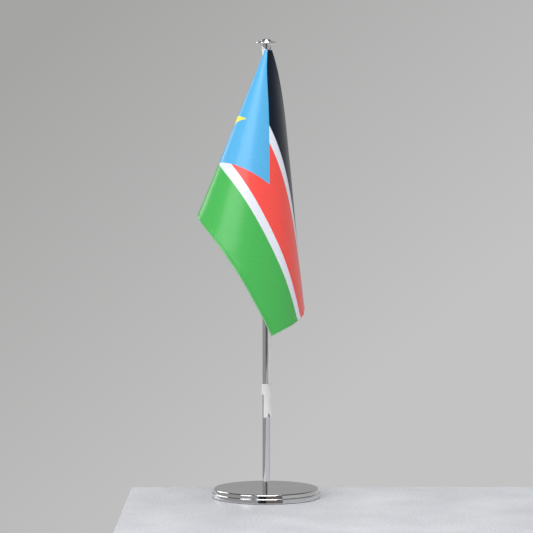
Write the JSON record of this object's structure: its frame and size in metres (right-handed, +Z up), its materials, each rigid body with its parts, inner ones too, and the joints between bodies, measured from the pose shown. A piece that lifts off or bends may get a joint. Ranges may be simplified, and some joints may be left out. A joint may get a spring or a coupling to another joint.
{
  "type": "desk flag stand",
  "caption": "Desk flag stand: weighted round chromed base, slim pole with brimmed finial, and a draped striped cloth flag held by a tape loop and tie.",
  "frame": {"origin": "centre of the pad's underside, on the surface that the stand rests on", "axes": "+Z up along the pole, -Y towards the side that the printed flag faces"},
  "size_m": [0.1115, 0.1641, 0.421],
  "materials": {
    "chrome": "polished chrome plating",
    "weight": "rough cast, blackened",
    "pad": "matt closed-cell foam",
    "zinc_steel": "zinc plated",
    "brass": "turned",
    "flag_satin": "printed polyester satin with a soft sheen",
    "tape": "white twill tape"
  },
  "bodies": {
    "stand": {"base_cover": "chrome", "base_weight": "weight", "base_pad": "pad", "pole_screw": "zinc_steel", "flat_washer": "zinc_steel", "spring_washer": "zinc_steel", "pole_tube": "chrome", "pole_foot_plug": "brass", "pole_top_plug": "brass", "finial_stud": "zinc_steel", "finial": "chrome"},
    "flag_set": {"flag_cloth": "flag_satin", "hoist_tape": "tape", "top_loop": "tape", "tie_run": "tape", "tie_wrap": "tape", "tie_tail": "tape"}
  },
  "joints": [
    {"name": "flag_swivel", "type": "hinge", "parent": "stand", "child": "flag_set", "pos_m": [0, 0, 0.3], "axis": [0, 0, 1], "continuous": true}
  ]
}
